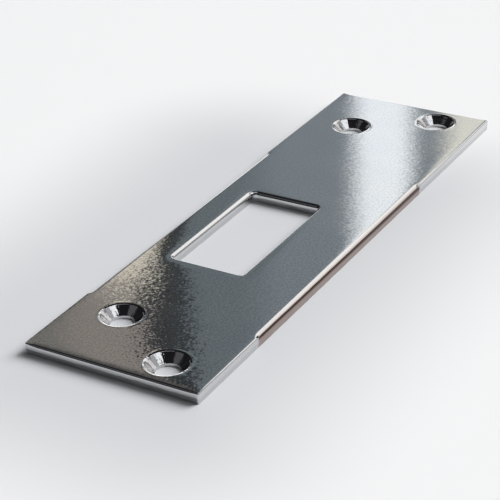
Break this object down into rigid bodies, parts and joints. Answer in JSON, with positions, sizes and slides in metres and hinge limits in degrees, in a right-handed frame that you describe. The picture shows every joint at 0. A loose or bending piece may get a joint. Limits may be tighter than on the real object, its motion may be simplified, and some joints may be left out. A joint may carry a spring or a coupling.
{
  "type": "door strike plate",
  "caption": "Flat plated steel strike plate with an off-centre bolt opening, staggered countersunk screw holes near both ends and rounded long edges beside the opening.",
  "frame": {"origin": "middle of the plate's length and width, on its flat back", "axes": "+X along the plate's length, away from the end that the bolt opening is nearer to; +Y across it, towards the side that the opening is nearer to; +Z out of the countersunk face"},
  "size_m": [0.12, 0.035, 0.0022],
  "materials": {
    "plated_steel": "bright plating over rolled steel sheet, slightly grainy on the face and mirror bright in the countersinks"
  },
  "bodies": {
    "root": {"strike_plate": "plated_steel"}
  },
  "joints": []
}
